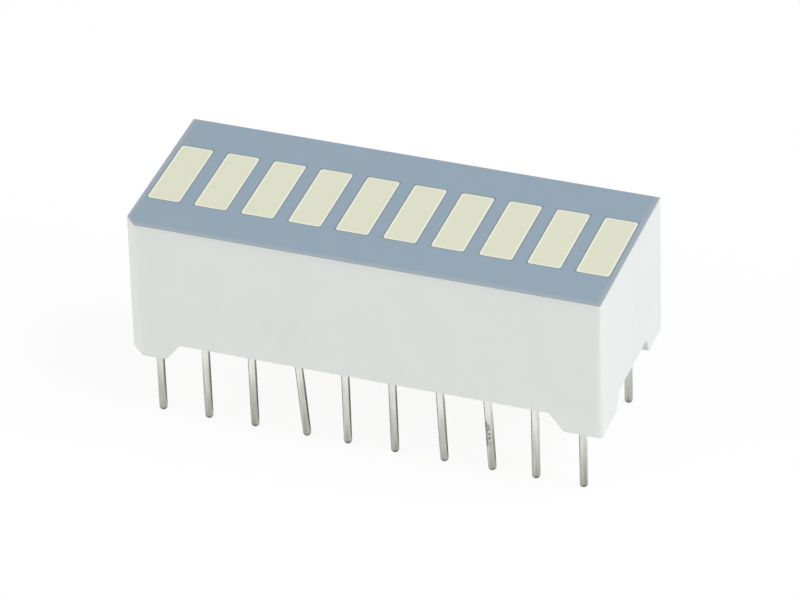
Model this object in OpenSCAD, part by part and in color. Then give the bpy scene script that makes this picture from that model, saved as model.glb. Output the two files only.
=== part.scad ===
// Light bar display: a row of ten lit segments in a moulded housing, on two rows of pins.
// The origin is the centre of the pin grid on the plane that the feet stand on.
// +X runs along the segments, -Y is the side of pin 1, and +Z points out of the face.
// All sizes are in millimetres.

/* [Pin grid] */
// Number of segments, each with one pin in either row
segment_count = 10; // [4:1:10]
// Distance from one segment to the next, and from pin to pin along a row
pitch = 2.54; // [2.4:0.01:3]
// Distance between the two rows of pins
row_spacing = 7.62; // [7:0.01:10.16]

/* [Pins] */
// Diameter of a round pin over its tin
pin_d = 0.43; // [0.35:0.01:0.6]
// Thickness of the tin, which is dipped on and ends just under the fill
tin_t = 0.01; // [0.005:0.005:0.03]
// Length of a pin below the feet
pin_reach = 4.13; // [2.5:0.01:6]
// Distance from the fill down to the end of the tin, where a pin may bend
tin_drop = 0.85; // [0.4:0.05:1]
// Narrowing of the bare wire up to its head, which leads it into its hole
head_draft = 0.04; // [0.01:0.01:0.1]
// Lean of pin 4 towards the far end, in degrees
lean_4 = 3.9; // [0:0.1:5]
// Lean of pin 6 towards the far end, in degrees
lean_6 = 0.3; // [0:0.1:5]
// Lean of pin 7 towards the far end, in degrees
lean_7 = 2; // [0:0.1:5]
// Lean of pin 8 towards the far end, in degrees
lean_8 = 2.5; // [0:0.1:5]

/* [Housing] */
// Height from the feet to the display face
body_h = 8.1; // [7:0.05:12]
// Distance that the body sits off the middle of the pin grid, towards the far end
body_shift = 0.13; // [0:0.01:0.2]
// Thickness of the outer walls at the feet
outer_wall = 0.66; // [0.5:0.01:1.2]
// Draft of the outer walls, which lean in towards the face, in degrees
draft = 0.5; // [0.1:0.1:1]
// Leg of the corner chamfer that marks pin 1
chamfer = 0.68; // [0.5:0.01:1.1]
// Radius of the other three upright edges at the feet
edge_r = 0.3; // [0.1:0.01:0.4]
// Width of the bevel round the display face
face_bevel = 0.02; // [0.02:0.01:0.15]
// Radius of the outer edges under the feet
base_r = 0.16; // [0.05:0.01:0.3]
// Radius in the corners of the pocket for the board
pocket_r = 0.3; // [0.2:0.05:0.4]

/* [Feet] */
// Height of the feet below the rim
foot_h = 1.07; // [0.5:0.01:1.5]
// Length of a foot along the long side
foot_l = 1.98; // [1:0.01:2.5]
// Length of a foot along the short side
foot_w = 2.3; // [1:0.01:2.6]
// Run of the slope from a foot up to the rim of the long side
slope_l = 0.85; // [0.3:0.01:1.2]
// Run of the slope from a foot up to the rim of the short side
slope_w = 0.4; // [0.1:0.01:1]
// Radius where a slope meets the rim
rim_fillet = 0.3; // [0.1:0.01:0.5]
// Radius where a slope meets the bottom of a foot
foot_round = 0.35; // [0.05:0.01:0.4]

/* [Windows] */
// Width of a window, along the row
window_w = 1.75; // [1.2:0.01:2]
// Length of a window, across the row
window_l = 5; // [4:0.01:5.5]
// Radius in the corners of a window
window_r = 0.15; // [0.05:0.01:0.4]
// Depth of the straight lip under a window
lip_h = 0.4; // [0.2:0.05:1]
// Width of a light well where it meets the board
well_w = 1.1; // [0.8:0.05:1.2]
// Length of a light well where it meets the board
well_l = 2.6; // [2.2:0.05:3.5]
// Thickness of the grey coating on the face
coating_t = 0.05; // [0.02:0.01:0.1]
// Gap round a cast segment, which shrinks as it cures
cast_gap = 0.008; // [0.004:0.002:0.02]

/* [Board and fill] */
// Thickness of the circuit board
board_t = 0.8; // [0.5:0.1:1.6]
// Width of board left beyond the holes of the outer pins
board_rim = 0.36; // [0.25:0.01:0.5]
// Clearance round the edge of the board
board_gap = 0.05; // [0.02:0.01:0.1]
// Clearance round a pin in its board hole
hole_gap = 0.02; // [0.01:0.01:0.05]
// Thickness of the copper
copper_t = 0.035; // [0.02:0.005:0.1]
// Width of the copper ring round a pin
ring_w = 0.15; // [0.1:0.01:0.25]
// Width of a copper track
track_w = 0.3; // [0.15:0.01:0.5]
// Height of a solder fillet
solder_h = 0.4; // [0.2:0.05:0.8]
// Thickness of the epoxy behind the board
fill_t = 1.5; // [1:0.1:2]
// Depth of the epoxy inside the rim
fill_recess = 0.3; // [0.1:0.05:0.8]

/* [Light source] */
// Side of the square light-emitting die
die_w = 0.3; // [0.2:0.01:0.4]
// Height of the die
die_h = 0.25; // [0.15:0.01:0.35]
// Margin of the copper pad round the die and round the foot of the bond wire
pad_margin = 0.12; // [0.05:0.01:0.2]
// Distance from the middle of the die to the foot of the bond wire
wire_span = 0.75; // [0.65:0.01:0.9]
// Diameter of the bond wire
wire_d = 0.03; // [0.02:0.005:0.05]

/* [Hidden] */
// Steps of a full circle, and of an arc in an outline
$fn = 48;
arc_steps = 8;

// Plan of the housing, which follows the pin grid
core_d = pin_d - 2 * tin_t;
hole_d = core_d + 2 * hole_gap;
board_edge = hole_d / 2 + board_rim;
row_l = (segment_count - 1) * pitch;
board_l = row_l + 2 * board_edge;
board_w = row_spacing + 2 * board_edge;
pocket_l = board_l + 2 * board_gap;
pocket_w = board_w + 2 * board_gap;
body_l = pocket_l + 2 * outer_wall;
body_w = pocket_w + 2 * outer_wall;

// Heights, stacked up from the feet
fill_z = foot_h + fill_recess;
board_z = fill_z + fill_t;
copper_z = board_z + board_t;
well_z = copper_z + copper_t;
shell_h = body_h - coating_t;
lip_z = shell_h - lip_h;

// Distance from the foot of an outer wall in to the edge of the display face
face_inset = shell_h * tan(draft) + face_bevel;

// A well starts inside the rounded corners of its lip, so that the mould can be drawn
lip_step = window_r * (1 - sqrt(0.5));

// Pins: tinned length between the middles of its round ends, and the copper round the holes
bend_z = fill_z - tin_drop;
tinned_l = bend_z + pin_reach - pin_d / 2;
ring_r = hole_d / 2 + ring_w;

// Bond wire: an arc that stands upright on its pad and comes down on top of the die
loop_r = (pow(wire_span, 2) + pow(die_h, 2)) / (2 * wire_span);
loop_y = loop_r - wire_span;
loop_start = atan2(die_h, -loop_y);
loop_sink = asin(wire_d / loop_r);

// A cutter reaches past the solid that it cuts by this much
over = 1;

segments = [1 : segment_count];
pins = [1 : 2 * segment_count];

function label(stem, number) = str(stem, number < 10 ? "_0" : "_", number);
function labels(stem, numbers) = [for (number = numbers) label(stem, number)];

// Place of a segment along the row
function segment_x(number) = (number - (segment_count + 1) / 2) * pitch;

// Pins count along the front row, then back along the rear row
function in_front(number) = number <= segment_count;
function pin_x(number) = segment_x(in_front(number) ? number : 2 * segment_count + 1 - number);
function pin_y(number) = (in_front(number) ? -1 : 1) * row_spacing / 2;
function pin_lean(number) =
    number == 4 ? lean_4 :
    number == 6 ? lean_6 :
    number == 7 ? lean_7 :
    number == 8 ? lean_8 : 0;

// Points along an arc, from one angle to the other
function arc(centre, radius, from, to) = [
    for (step = [0 : arc_steps])
        let (angle = from + (to - from) * step / arc_steps)
        centre + radius * [cos(angle), sin(angle)]
];

// Outside of a wall that stands this far out: its round foot, its draft and its bevelled top
function wall_profile(place) = concat(
    arc([place - base_r * (1 + sin(draft)) / cos(draft), base_r], base_r, 270, 360 + draft),
    [
        [place - (shell_h - face_bevel) * tan(draft), shell_h - face_bevel],
        [place - face_inset, shell_h]
    ]
);

// Outlines

// Rectangle with round corners
module rounded_rectangle(length, width, radius) {
    square([length - 2 * radius, width], center = true);
    square([length, width - 2 * radius], center = true);
    for (x = [-1, 1], y = [-1, 1])
        translate([x * (length / 2 - radius), y * (width / 2 - radius)])
            circle(r = radius);
}

// Plan of the housing at its feet: one corner chamfered, three rounded
module body_outline() {
    x = body_l / 2;
    y = body_w / 2;
    polygon([
        [-x + chamfer, -y], [x - edge_r, -y],
        [x, -y + edge_r], [x, y - edge_r],
        [x - edge_r, y], [-x + edge_r, y],
        [-x, y - edge_r], [-x, -y + chamfer]
    ]);
    for (corner = [[1, -1], [1, 1], [-1, 1]])
        translate([corner.x * (x - edge_r), corner.y * (y - edge_r)])
            circle(r = edge_r);
}

// Plan of the display face, as the chamfer and the leaning walls bound it
module face_outline() {
    x = body_l / 2 - face_inset;
    y = body_w / 2 - face_inset;
    leg = chamfer - (2 - sqrt(2)) * face_inset;
    polygon([[-x + leg, -y], [x, -y], [x, y], [-x, y], [-x, -y + leg]]);
}

// Section across two opposite walls
module wall_section(width) {
    profile = wall_profile(width / 2);
    polygon(concat(
        profile,
        [for (index = [len(profile) - 1 : -1 : 0]) [-profile[index].x, profile[index].y]]
    ));
}

// Section through the pin 1 chamfer
module chamfer_section() {
    place = (body_l / 2 + body_w / 2 - chamfer) / sqrt(2);
    polygon(concat([[-body_l, 0]], wall_profile(place), [[-body_l, shell_h]]));
}

// Opening between two feet: a trapezium, rounded where it meets the rim and the feet
module arch_outline(foot_gap, slope) {
    steep = atan2(foot_h, slope);
    rim_x = foot_gap / 2 - slope - rim_fillet * tan(steep / 2);
    rim_y = foot_h - rim_fillet;
    foot_x = foot_gap / 2 + foot_round * tan(steep / 2);
    polygon(concat(
        [[-foot_x, -over], [foot_x, -over]],
        arc([foot_x, foot_round], foot_round, 270, 270 - steep),
        arc([rim_x, rim_y], rim_fillet, 90 - steep, 90),
        arc([-rim_x, rim_y], rim_fillet, 90, 90 + steep),
        arc([-foot_x, foot_round], foot_round, 270 + steep, 270)
    ));
}

// Side view of a light well: a straight foot, a funnel up to the lip, and no bound above that
module funnel_outline(base, neck) {
    wide = neck / 2 + over;
    top = body_h + 2 * over;
    polygon([
        [-base / 2, 0], [base / 2, 0], [base / 2, well_z], [neck / 2, lip_z],
        [wide, lip_z], [wide, top], [-wide, top], [-wide, lip_z],
        [-neck / 2, lip_z], [-base / 2, well_z]
    ]);
}

// Copper of one pin and its pad, seen from above with the pin at the front
module track_outline(pad_y, pad_w) {
    difference() {
        union() {
            translate([0, -row_spacing / 2])
                circle(r = ring_r);
            translate([-track_w / 2, -row_spacing / 2])
                square([track_w, row_spacing / 2 + pad_y]);
            translate([0, pad_y])
                square(pad_w, center = true);
        }
        translate([0, -row_spacing / 2])
            circle(d = hole_d);
    }
}

// Shapes that more than one piece takes

// Bars along the row and across it, from an outline that stands upright
module along_x(length) {
    rotate([90, 0, 90])
        linear_extrude(length, center = true)
            children();
}

module along_y(length) {
    rotate([90, 0, 0])
        linear_extrude(length, center = true)
            children();
}

// Puts a shape of the body in its place over the pin grid
module in_body() {
    translate([body_shift, 0, 0])
        children();
}

// Inside of one light well between two heights, drawn in by a gap: its window, from the lip
// up, and a funnel down to the board
module well(number, from, to, gap = 0) {
    translate([segment_x(number), 0, 0])
        intersection() {
            translate([0, 0, from])
                linear_extrude(to - from)
                    rounded_rectangle(window_w - 2 * gap, window_l - 2 * gap, window_r - gap);
            along_y(window_l + 2 * over)
                funnel_outline(well_w - 2 * gap, window_w - 2 * lip_step - 2 * gap);
            along_x(window_w + 2 * over)
                funnel_outline(well_l - 2 * gap, window_l - 2 * lip_step - 2 * gap);
        }
}

// Room that the pocket has, from one height to another
module pocket(from, to) {
    translate([0, 0, from])
        linear_extrude(to - from)
            rounded_rectangle(pocket_l, pocket_w, pocket_r);
}

module at_pin(number) {
    translate([pin_x(number), pin_y(number), 0])
        children();
}

// Copper of one segment: the front pin's wire pad and the rear pin's die pad
module segment_copper(number) {
    translate([segment_x(number), 0, copper_z])
        linear_extrude(copper_t) {
            track_outline(-wire_span, wire_d + 2 * pad_margin);
            rotate(180)
                track_outline(0, die_w + 2 * pad_margin);
        }
}

module die_block(number) {
    translate([segment_x(number), 0, well_z + die_h / 2])
        cube([die_w, die_w, die_h], center = true);
}

module wire_loop(number) {
    difference() {
        translate([segment_x(number), loop_y, well_z])
            rotate([90, 0, 90])
                rotate(loop_start - loop_sink)
                    rotate_extrude(angle = 180 - loop_start + loop_sink)
                        translate([loop_r, 0])
                            circle(d = wire_d);
        die_block(number);
    }
}

// Pads under the board, one round each pin
module lower_pads() {
    for (number = pins)
        at_pin(number)
            translate([0, 0, board_z - copper_t])
                linear_extrude(copper_t)
                    difference() {
                        circle(r = ring_r);
                        circle(d = hole_d);
                    }
}

// Solder round a pin: widest on its pad, and drawn out along the pin
module solder_fillet() {
    translate([0, 0, board_z - copper_t])
        rotate_extrude()
            polygon([[0, 0], [ring_r, 0], [core_d / 2, -solder_h], [0, -solder_h]]);
}

// Bare wire of a pin, held upright, with its head in the board
module bare_wire() {
    translate([0, 0, bend_z])
        cylinder(d1 = core_d, d2 = core_d - head_draft, h = well_z - bend_z);
}

// Pieces

module housing() {
    color("whitesmoke")
        in_body()
            difference() {
                intersection() {
                    linear_extrude(shell_h)
                        body_outline();
                    along_y(body_w)
                        wall_section(body_l);
                    along_x(body_l)
                        wall_section(body_w);
                    rotate(225)
                        along_y(2 * body_l)
                            chamfer_section();
                }
                pocket(-over, well_z);
                along_y(body_w + 2 * over)
                    arch_outline(body_l - 2 * foot_l, slope_l);
                along_x(body_l + 2 * over)
                    arch_outline(body_w - 2 * foot_w, slope_w);
                for (number = segments)
                    well(number, board_z, shell_h + over);
            }
}

module face_coating() {
    color("lightslategray")
        in_body()
            translate([0, 0, shell_h])
                intersection() {
                    linear_extrude(coating_t)
                        difference() {
                            face_outline();
                            for (number = segments)
                                translate([segment_x(number), 0])
                                    rounded_rectangle(window_w, window_l, window_r);
                        }
                    linear_extrude(coating_t)
                        body_outline();
                }
}

module segment(number) {
    color("beige")
        difference() {
            in_body()
                well(number, copper_z, body_h, cast_gap);
            segment_copper(number);
            die_block(number);
            wire_loop(number);
        }
}

module circuit_board() {
    color("olivedrab")
        translate([0, 0, board_z])
            linear_extrude(board_t)
                difference() {
                    in_body()
                        rounded_rectangle(board_l, board_w, pocket_r - board_gap);
                    for (number = pins)
                        translate([pin_x(number), pin_y(number)])
                            circle(d = hole_d);
                }
}

module copper_traces() {
    color("peru") {
        for (number = segments)
            segment_copper(number);
        lower_pads();
    }
}

module led_die(number) {
    color("goldenrod")
        die_block(number);
}

module bond_wire(number) {
    color("gold")
        wire_loop(number);
}

module solder_joints() {
    color("lightgray")
        for (number = pins)
            at_pin(number)
                difference() {
                    solder_fillet();
                    bare_wire();
                }
}

module back_fill() {
    color("oldlace")
        difference() {
            in_body()
                pocket(fill_z, board_z);
            for (number = pins)
                at_pin(number) {
                    translate([0, 0, board_z - copper_t])
                        cylinder(r = ring_r, h = copper_t + over);
                    solder_fillet();
                    bare_wire();
                }
        }
}

// Tinned length of a pin, with a round tip and a round shoulder
module tinned_length() {
    rotate_extrude() {
        square([pin_d / 2, tinned_l]);
        for (end = [0, 1])
            translate([0, end * tinned_l])
                intersection() {
                    circle(d = pin_d);
                    translate([0, (end - 1) * pin_d])
                        square(pin_d);
                }
    }
}

// The tinned length may lean under the bare wire
module pin(number) {
    color("silver")
        at_pin(number) {
            bare_wire();
            translate([0, 0, bend_z])
                rotate([0, -pin_lean(number), 0])
                    translate([0, 0, -tinned_l])
                        tinned_length();
        }
}

housing();
face_coating();
circuit_board();
copper_traces();
solder_joints();
back_fill();
for (number = segments) {
    segment(number);
    led_die(number);
    bond_wire(number);
}
for (number = pins)
    pin(number);
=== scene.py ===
import math

import bpy
from mathutils import Matrix, Vector


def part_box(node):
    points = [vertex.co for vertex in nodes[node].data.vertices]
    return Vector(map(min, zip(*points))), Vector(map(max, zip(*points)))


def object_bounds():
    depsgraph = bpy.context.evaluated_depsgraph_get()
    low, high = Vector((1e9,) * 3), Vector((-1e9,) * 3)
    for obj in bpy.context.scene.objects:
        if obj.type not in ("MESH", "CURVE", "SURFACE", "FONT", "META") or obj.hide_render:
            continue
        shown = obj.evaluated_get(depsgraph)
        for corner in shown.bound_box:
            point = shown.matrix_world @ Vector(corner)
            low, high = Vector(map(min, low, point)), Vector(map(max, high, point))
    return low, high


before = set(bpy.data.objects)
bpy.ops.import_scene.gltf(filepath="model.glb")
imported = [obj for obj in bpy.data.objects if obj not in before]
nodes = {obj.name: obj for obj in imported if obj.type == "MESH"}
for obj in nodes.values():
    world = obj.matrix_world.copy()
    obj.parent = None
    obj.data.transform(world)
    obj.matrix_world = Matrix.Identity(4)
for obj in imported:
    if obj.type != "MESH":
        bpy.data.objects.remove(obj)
cad_low, cad_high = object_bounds()

MM = 0.001

# Camera: its angles in degrees, and its place from the origin along its own axes in millimetres
CAMERA_AZIMUTH = 20.37
CAMERA_ELEVATION = 34.84
CAMERA_ROLL = -1.95
CAMERA_DISTANCE = 286.3
CAMERA_RIGHT = 0.322
CAMERA_UP = 2.068
LENS = 250.7
SENSOR_WIDTH = 36
CLIP_START = 10

# Light, in metres: a level of 1 on a surface that faces it shows a colour as it is written
SKY_LEVEL = 0.465
LAMP_DISTANCE = 0.5
LAMP_SIZE = 0.35
KEY_AZIMUTH = 85
KEY_ELEVATION = 47
KEY_LEVEL = 0.632
KEY_COLOUR = (249, 249, 255)
FILL_AZIMUTH = -50
FILL_ELEVATION = 32
FILL_LEVEL = 0.325
FILL_COLOUR = (255, 255, 247)
FLOOR_SIZE = 2.0
FLOOR_GLOW = 0.9

# A grey card on the floor under the body, which only mirrors see, as painted shade for the shaded
# floor there that the pins mirror: millimetres
CARD_LEFT = -12.7
CARD_RIGHT = 9.5
CARD_FRONT = -3.4
CARD_BACK = 1.6
CARD_LIFT = 0.02

# Colours, as red, green and blue from 0 to 255
PLASTIC = (237, 241, 237)
PLASTIC_SHADE = (234, 238, 234)
INK = (146, 164, 178)
INK_SHADE = (144, 163, 177)
# Painted shade round the windows, for the shadow in the gap between the ink and the epoxy
INK_GAP_SHADE = (126, 136, 142)
# Painted highlight along the face's edges, for the light that the rounded top edge catches
INK_RIM_HIGHLIGHT = (163, 174, 179)
EPOXY = (219, 221, 198)
EPOXY_EDGE = (221, 220, 188)
EPOXY_RIM = (238, 241, 228)
TIN = (233, 235, 227)
# The tin darkens towards this painted shade at the tip, for the shaded floor that it mirrors
TIN_PAINTED_SHADE = (151, 153, 141)
TIN_MARK = (108, 107, 99)
# Painted shade on the very tip of a pin, for the dark floor under it that it mirrors
TIP_PAINTED_SHADE = (48, 47, 43)
BACK_FILL = (226, 223, 208)
BACK_FILL_SHADE = (214, 210, 190)
LAMINATE = (126, 142, 84)
LAMINATE_SHADE = (108, 124, 70)
COPPER = (200, 128, 90)
COPPER_SHADE = (168, 98, 66)
SOLDER = (190, 190, 188)
SOLDER_SHADE = (150, 150, 150)
DIE = (190, 150, 60)
DIE_SHADE = (150, 110, 40)
GOLD = (226, 182, 92)
GOLD_SHADE = (198, 150, 66)
FLOOR = (228, 228, 228)
WHITE = (255, 255, 255)
# Painted shade under the body, which the pins mirror
SHADE_CARD = (188, 188, 178)

# Most of a soft noise lies between these two values
NOISE_RANGE = (0.3, 0.7)

# Widths on the face, in millimetres: full colour up to the first, none from the second
INK_GAP_SHADE_WIDTH = (0.03, 0.09)
INK_HIGHLIGHT_WIDTH = (0, 0.32)
EPOXY_LINE = (0.05, 0.11)
EPOXY_WARM = (0.05, 0.5)

# The painted highlight along the face's edges follows a box that reaches this far past the rear
# edge, which has none
INK_HIGHLIGHT_SHIFT = Vector((0, 1, 0))

# Tin of a pin: share of painted shade at its tip and at the feet, which darkens it downwards for
# the shaded floor that it mirrors
PAINTED_SHADE_SHARES = (0.9, 0.05)

# Heights over the tip of a pin, in millimetres: full painted shade, a dark rim for the shade that
# the tip mirrors, up to the first, none from the second
TIP_HEIGHTS = (0.1, 0.26)

# Streaks, drawing lines and specks of the tin: widths and depths in millimetres, lengths in widths
STREAK_WIDTH = 0.14
STREAK_LENGTH = 12
STREAK_SHARE = 0.2
DRAWN_WIDTH = 0.08
DRAWN_LENGTH = 20
DRAWN_DEPTH = 0.0008
SPECK_WIDTH = 0.12
SPECK_RANGE = (0.7, 0.76)
SPECK_SHARE = 0.5

# Scratches on one pin: the side and the heights that they lie at, in degrees and millimetres
SCRATCHED_PIN = "pin_08"
SCRATCH_AZIMUTH = -35
SCRATCH_LOW = -2.8
SCRATCH_HIGH = -0.8

# They start and are full at these shares of the pin's width, and so far up and down from half way
SCRATCH_SIDE = (-0.1, 0.4)
SCRATCH_FULL = 0.6

# Their noise: width in millimetres, length in widths, what their place adds, and what then shows
SCRATCH_WIDTH = 0.1
SCRATCH_LENGTH = 1.4
SCRATCH_ROUGHNESS = 0.6
SCRATCH_WEIGHT = 0.3
SCRATCH_RANGE = (0.7, 0.86)
SCRATCH_SHARE = 0.9


def linear(colour):
    """A colour from 0 to 255 as the linear red, green, blue and alpha that a shader takes."""
    shares = [value / 255 for value in colour]
    return [s / 12.92 if s <= 0.04045 else ((s + 0.055) / 1.055) ** 2.4 for s in shares] + [1]


def direction(azimuth, elevation):
    """The unit vector from the object towards a place that is seen under these angles."""
    a, e = math.radians(azimuth), math.radians(elevation)
    return Vector((math.sin(a) * math.cos(e), -math.cos(a) * math.cos(e), math.sin(e)))


def plan(name):
    """The middle and the size of a piece, seen from above, in millimetres."""
    low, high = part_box(name)
    return (low + high) / 2 / MM, (high - low) / MM


# Node helpers

def set_input(tree, socket, value):
    """Set an input to a value, or link it to another node's output."""
    if isinstance(value, bpy.types.NodeSocket):
        tree.links.new(value, socket)
    else:
        socket.default_value = value


def add(tree, kind, inputs=None, **settings):
    """A new shader node, with its settings and its inputs."""
    made = tree.nodes.new("ShaderNode" + kind)
    for name, value in settings.items():
        setattr(made, name, value)
    for name, value in (inputs or {}).items():
        set_input(tree, made.inputs[name], value)
    return made


def millimetres(tree, length=1):
    """The place on the part in millimetres, with heights divided by a length."""
    place = add(tree, "TexCoord").outputs["Object"]
    scale = (1 / MM, 1 / MM, 1 / MM / length)
    return add(tree, "VectorMath", {0: place, 1: scale}, operation="MULTIPLY").outputs[0]


def axes(tree):
    """The place on the part along each axis, in millimetres."""
    return add(tree, "SeparateXYZ", {0: millimetres(tree)}).outputs


def noise(tree, place, size, detail=3, roughness=0.5):
    """Soft noise from 0 to 1 whose lumps are about this many millimetres wide."""
    inputs = {"Vector": place, "Scale": 1 / size, "Detail": detail, "Roughness": roughness}
    return add(tree, "TexNoise", inputs).outputs["Fac"]


def spread(tree, value, low, high, to_low=0, to_high=1):
    """The value, moved from one range to another and held inside it."""
    inputs = {"Value": value, 1: low, 2: high, 3: to_low, 4: to_high}
    return add(tree, "MapRange", inputs, clamp=True).outputs[0]


def maths(tree, operation, *values):
    """The result of one operation on numbers or outputs."""
    return add(tree, "Math", dict(enumerate(values)), operation=operation).outputs[0]


def blend(tree, share, colour, other):
    """Two colours, mixed by a share of the second."""
    made = add(tree, "Mix", data_type="RGBA")
    share_input, colour_input, other_input = made.inputs[0], made.inputs[6], made.inputs[7]
    set_input(tree, share_input, share)
    set_input(tree, colour_input, colour)
    set_input(tree, other_input, other)
    return made.outputs[2]


def bump(tree, height, depth, under=None):
    """A normal for a height from 0 to 1 that stands for this depth in millimetres."""
    inputs = {"Height": height, "Distance": depth * MM, "Strength": 1}
    if under is not None:
        inputs["Normal"] = under
    return add(tree, "Bump", inputs).outputs["Normal"]


def inside(tree, place, middle, size):
    """How far in from the nearest side of an upright box a place lies, in millimetres."""
    depths = []
    for axis in range(2):
        off_middle = maths(tree, "ABSOLUTE", maths(tree, "SUBTRACT", place[axis], middle[axis]))
        depths.append(maths(tree, "SUBTRACT", size[axis] / 2, off_middle))
    return maths(tree, "MINIMUM", *depths)


def inside_window(tree, place):
    """How far in from the edge of the nearest window a place lies, or below 0 beside it."""
    first_middle, size = plan("segment_01")
    pitch = plan("segment_02")[0].x - first_middle.x
    from_first = maths(tree, "SUBTRACT", place["X"], first_middle.x)
    in_pitch = maths(tree, "WRAP", from_first, pitch / 2, -pitch / 2)
    return inside(tree, (in_pitch, place["Y"]), (0, first_middle.y), size)


# What materials are made of

def mottled(colour, shade, size):
    """A colour that drifts to its shade in soft patches."""
    def draw(tree):
        patches = spread(tree, noise(tree, millimetres(tree), size), *NOISE_RANGE)
        return blend(tree, patches, linear(colour), linear(shade))
    return draw


def uneven(low, high, size):
    """A roughness that drifts between two levels."""
    def draw(tree):
        return spread(tree, noise(tree, millimetres(tree), size), *NOISE_RANGE, low, high)
    return draw


def grained(fine, fine_depth, broad, broad_depth):
    """A fine grain on a broad, shallow wave."""
    def draw(tree):
        place = millimetres(tree)
        wave = bump(tree, noise(tree, place, broad, detail=1), broad_depth)
        return bump(tree, noise(tree, place, fine), fine_depth, wave)
    return draw


def finish_material(name, colour, roughness, normal, **values):
    """A principled material in a new tree, whose three functions draw its nodes."""
    material = bpy.data.materials.new(name)
    material.use_nodes = True
    tree = material.node_tree
    shader = tree.nodes["Principled BSDF"]
    for socket, draw in (("Base Color", colour), ("Roughness", roughness), ("Normal", normal)):
        tree.links.new(draw(tree), shader.inputs[socket])
    for socket, value in values.items():
        shader.inputs[socket.replace("_", " ")].default_value = value
    return material


# Materials

def plastic():
    """White moulded plastic, which lets a little light through its thin feet."""
    return finish_material(
        "housing_plastic",
        mottled(PLASTIC, PLASTIC_SHADE, size=2.5),
        uneven(low=0.42, high=0.55, size=0.5),
        grained(fine=0.07, fine_depth=0.0015, broad=2.0, broad_depth=0.003),
        Specular_IOR_Level=0.4,
        Subsurface_Weight=0.35,
        Subsurface_Radius=(1, 1, 0.9),
        Subsurface_Scale=0.6 * MM,
    )


def ink():
    """Matt grey coating, with painted shade as a dark line round the windows and a painted
    highlight as a pale rim at the edges.
    """
    face_middle, face_size = plan("face_coating")
    highlight_middle = face_middle + INK_HIGHLIGHT_SHIFT
    highlight_size = face_size + 2 * INK_HIGHLIGHT_SHIFT

    def colour(tree):
        place = axes(tree)
        beside = maths(tree, "MULTIPLY", inside_window(tree, place), -1)
        within = inside(tree, (place["X"], place["Y"]), highlight_middle, highlight_size)
        body = mottled(INK, INK_SHADE, size=1.2)(tree)
        # Painted shade: a dark line round each window, for the shadow in the gap at its edge
        lined = blend(tree, spread(tree, beside, *INK_GAP_SHADE_WIDTH, 1, 0), body, linear(INK_GAP_SHADE))
        # Painted highlight: a pale rim along the face's edges, for the light that its rounded edge
        # catches
        return blend(tree, spread(tree, within, *INK_HIGHLIGHT_WIDTH, 1, 0), lined, linear(INK_RIM_HIGHLIGHT))

    return finish_material(
        "face_ink",
        colour,
        uneven(low=0.6, high=0.75, size=0.4),
        grained(fine=0.05, fine_depth=0.0015, broad=1.5, broad_depth=0.002),
        Specular_IOR_Level=0.3,
    )


def epoxy():
    """Cream diffused epoxy, warmer towards the edge of a window, with a pale line at the edge."""
    def colour(tree):
        edge = inside_window(tree, axes(tree))
        patches = noise(tree, millimetres(tree), size=0.8)
        warm = maths(tree, "MULTIPLY", spread(tree, edge, *EPOXY_WARM, 1, 0), patches)
        body = blend(tree, warm, linear(EPOXY), linear(EPOXY_EDGE))
        return blend(tree, spread(tree, edge, *EPOXY_LINE, 1, 0), body, linear(EPOXY_RIM))

    return finish_material(
        "segment_epoxy",
        colour,
        uneven(low=0.35, high=0.45, size=0.6),
        grained(fine=0.08, fine_depth=0.0008, broad=1.0, broad_depth=0.003),
        Specular_IOR_Level=0.4,
    )


def scratches(tree):
    """The share of dull metal in the scratches on one side of one pin."""
    middle, size = plan(SCRATCHED_PIN)
    place = axes(tree)
    side = direction(SCRATCH_AZIMUTH, 0)
    out_x = maths(tree, "MULTIPLY", maths(tree, "SUBTRACT", place["X"], middle.x), side.x)
    out_y = maths(tree, "MULTIPLY", maths(tree, "SUBTRACT", place["Y"], middle.y), side.y)
    start, full = SCRATCH_SIDE
    near = spread(tree, maths(tree, "ADD", out_x, out_y), start * size.y, full * size.y)
    half_way = (SCRATCH_LOW + SCRATCH_HIGH) / 2
    half_length = (SCRATCH_HIGH - SCRATCH_LOW) / 2
    off_middle = maths(tree, "ABSOLUTE", maths(tree, "SUBTRACT", place["Z"], half_way))
    band = spread(tree, off_middle, SCRATCH_FULL, half_length, 1, 0)
    along = millimetres(tree, SCRATCH_LENGTH)
    scraped = noise(tree, along, SCRATCH_WIDTH, roughness=SCRATCH_ROUGHNESS)
    where = maths(tree, "MULTIPLY", maths(tree, "MULTIPLY", near, band), SCRATCH_WEIGHT)
    return spread(tree, maths(tree, "ADD", scraped, where), *SCRATCH_RANGE, 0, SCRATCH_SHARE)


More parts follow.
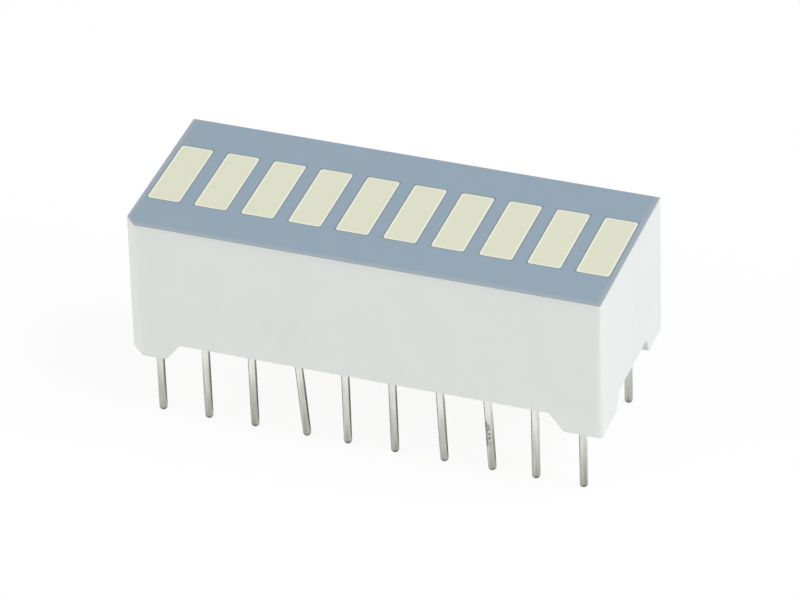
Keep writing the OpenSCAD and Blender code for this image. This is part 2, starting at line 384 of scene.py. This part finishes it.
def tin(name, marks=None):
    """Tinned wire with streaks and dull specks, painted shade that darkens it towards the tip and a
    darker painted-shade rim at the tip, and marks of its own if any.
    """
    tip_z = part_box("pin_01")[0].z / MM

    def colour(tree):
        height = axes(tree)["Z"]
        # Painted shade: darker from the feet down to the tip, for the shaded floor near the body
        # that the pin mirrors
        painted_fall = spread(tree, height, tip_z, 0, *PAINTED_SHADE_SHARES)
        streaks = noise(tree, millimetres(tree, STREAK_LENGTH), STREAK_WIDTH)
        uneven_fall = spread(tree, streaks, *NOISE_RANGE, -STREAK_SHARE, STREAK_SHARE)
        shade = spread(tree, maths(tree, "ADD", painted_fall, uneven_fall), 0, 1)
        clean = blend(tree, shade, linear(TIN), linear(TIN_PAINTED_SHADE))
        spots = noise(tree, millimetres(tree), SPECK_WIDTH, detail=2)
        specks = spread(tree, spots, *SPECK_RANGE, 0, SPECK_SHARE)
        speckled = blend(tree, specks, clean, linear(TIN_MARK))
        # Painted shade: a dark rim on the tip, for the shade that its rounded end mirrors
        above_tip = maths(tree, "SUBTRACT", height, tip_z)
        painted_tip_shade = spread(tree, above_tip, *TIP_HEIGHTS, 1, 0)
        tipped = blend(tree, painted_tip_shade, speckled, linear(TIP_PAINTED_SHADE))
        return blend(tree, marks(tree), tipped, linear(TIN_MARK)) if marks else tipped

    def normal(tree):
        drawn = noise(tree, millimetres(tree, DRAWN_LENGTH), DRAWN_WIDTH)
        return bump(tree, drawn, DRAWN_DEPTH)

    return finish_material(name, colour, uneven(low=0.2, high=0.32, size=0.3), normal, Metallic=1.0)


def back_fill():
    """Glossy epoxy that was poured in and set with a slight wave."""
    return finish_material(
        "fill_epoxy",
        mottled(BACK_FILL, BACK_FILL_SHADE, size=3.0),
        uneven(low=0.22, high=0.35, size=1.0),
        grained(fine=0.2, fine_depth=0.001, broad=1.6, broad_depth=0.02),
    )


def laminate():
    """Bare board of glass cloth and resin."""
    return finish_material(
        "board_laminate",
        mottled(LAMINATE, LAMINATE_SHADE, size=0.3),
        uneven(low=0.45, high=0.6, size=0.5),
        grained(fine=0.1, fine_depth=0.003, broad=0.5, broad_depth=0.004),
    )


def metal(name, colour, shade, size, low, high):
    """Bare metal with patches of one size, whose roughness lies between two levels."""
    return finish_material(
        name,
        mottled(colour, shade, size),
        uneven(low, high, size),
        grained(fine=size / 4, fine_depth=0.001, broad=size, broad_depth=0.003),
        Metallic=1.0,
    )


def die():
    """Sawn crystal."""
    return finish_material(
        "die_crystal",
        mottled(DIE, DIE_SHADE, size=0.1),
        uneven(low=0.15, high=0.3, size=0.1),
        grained(fine=0.02, fine_depth=0.0005, broad=0.1, broad_depth=0.0005),
        Metallic=0.3,
    )


FINISHES = {
    "housing": plastic(),
    "face_coating": ink(),
    "segment": epoxy(),
    "circuit_board": laminate(),
    "copper_traces": metal("copper_foil", COPPER, COPPER_SHADE, size=0.4, low=0.3, high=0.45),
    "solder_joints": metal("solder", SOLDER, SOLDER_SHADE, size=0.3, low=0.2, high=0.35),
    "led_die": die(),
    "bond_wire": metal("bond_gold", GOLD, GOLD_SHADE, size=0.05, low=0.2, high=0.3),
    "back_fill": back_fill(),
    "pin": tin("pin_tin"),
    SCRATCHED_PIN: tin("pin_tin_scratched", scratches),
}

# A piece takes the finish of its own name, or else that of its name without the number
for name, node in nodes.items():
    stem = name.rstrip("0123456789").rstrip("_")
    node.data.materials.clear()
    node.data.materials.append(FINISHES.get(name) or FINISHES[stem])


# Studio

def shown(tree):
    """1 for a ray that shows a thing to the camera: straight, in a mirror or through glass."""
    rays = add(tree, "LightPath").outputs
    mirrored = maths(tree, "MAXIMUM", rays["Is Glossy Ray"], rays["Is Transmission Ray"])
    return maths(tree, "MAXIMUM", rays["Is Camera Ray"], mirrored)


def build_world():
    """Even light from all round, which shows as white."""
    world = bpy.data.worlds.new("studio")
    world.use_nodes = True
    tree = world.node_tree
    level = spread(tree, shown(tree), 0, 1, SKY_LEVEL, 1)
    tree.links.new(level, tree.nodes["Background"].inputs["Strength"])
    tree.nodes["Background"].inputs["Color"].default_value = linear(WHITE)
    bpy.context.scene.world = world


def build_floor():
    """A pale floor under the pins, which shows as white with a soft shadow."""
    bpy.ops.mesh.primitive_plane_add(size=FLOOR_SIZE, location=(0, 0, cad_low.z))
    floor = bpy.context.object
    floor.name = "floor"
    material = bpy.data.materials.new("floor")
    material.use_nodes = True
    tree = material.node_tree
    tree.nodes.remove(tree.nodes["Principled BSDF"])
    seen = shown(tree)
    colour = blend(tree, seen, linear(FLOOR), linear(WHITE))
    matt = add(tree, "BsdfDiffuse", {"Color": colour})
    glow = add(tree, "Emission", {"Color": linear(WHITE), "Strength": 1})
    share = maths(tree, "MULTIPLY", seen, FLOOR_GLOW)
    mixed = add(tree, "MixShader", {0: share, 1: matt.outputs[0], 2: glow.outputs[0]})
    tree.links.new(mixed.outputs[0], tree.nodes["Material Output"].inputs["Surface"])
    floor.data.materials.append(material)


def build_shade_card():
    """A grey card under the body, which only mirrors see: painted shade in the reflections that
    gives the round pins their dark sides.
    """
    bpy.ops.mesh.primitive_plane_add(size=MM)
    card = bpy.context.object
    card.name = "card"
    card.scale = (CARD_RIGHT - CARD_LEFT, CARD_BACK - CARD_FRONT, 1)
    middle = Vector((CARD_LEFT + CARD_RIGHT, CARD_FRONT + CARD_BACK, 0)) / 2
    card.location = middle * MM + Vector((0, 0, cad_low.z + CARD_LIFT * MM))
    material = bpy.data.materials.new("card")
    material.use_nodes = True
    material.node_tree.nodes["Principled BSDF"].inputs["Base Color"].default_value = linear(SHADE_CARD)
    card.data.materials.append(material)
    for ray in ("camera", "diffuse", "transmission", "volume_scatter", "shadow"):
        setattr(card, "visible_" + ray, False)


def softbox(name, azimuth, elevation, level, colour):
    """A square lamp that lights the object at a level where 1 shows a colour as written."""
    lamp = bpy.data.lights.new(name, "AREA")
    lamp.shape = "SQUARE"
    lamp.size = LAMP_SIZE
    lamp.color = linear(colour)[:3]
    lamp.energy = level * math.pi ** 2 * LAMP_DISTANCE ** 2
    box = bpy.data.objects.new(name, lamp)
    towards = direction(azimuth, elevation)
    box.location = (cad_low + cad_high) / 2 + towards * LAMP_DISTANCE
    box.rotation_mode = "QUATERNION"
    box.rotation_quaternion = towards.to_track_quat("Z", "Y")
    bpy.context.scene.collection.objects.link(box)


def build_camera():
    """The camera, turned by its roll about its line of sight."""
    back = direction(CAMERA_AZIMUTH, CAMERA_ELEVATION)
    level_right = Vector((0, 0, 1)).cross(back).normalized()
    turn = Matrix.Rotation(math.radians(CAMERA_ROLL), 3, back)
    right = turn @ level_right
    up = back.cross(right)
    camera = bpy.data.objects.new("camera", bpy.data.cameras.new("camera"))
    camera.data.sensor_width = SENSOR_WIDTH
    camera.data.lens = LENS
    camera.data.clip_start = CLIP_START * MM
    place = right * CAMERA_RIGHT + up * CAMERA_UP + back * CAMERA_DISTANCE
    turned = Matrix((right, up, back)).transposed().to_4x4()
    camera.matrix_world = Matrix.Translation(place * MM) @ turned
    bpy.context.scene.collection.objects.link(camera)
    bpy.context.scene.camera = camera


build_world()
build_floor()
build_shade_card()
softbox("key", KEY_AZIMUTH, KEY_ELEVATION, KEY_LEVEL, KEY_COLOUR)
softbox("fill", FILL_AZIMUTH, FILL_ELEVATION, FILL_LEVEL, FILL_COLOUR)
build_camera()
bpy.context.scene.view_settings.view_transform = "Standard"
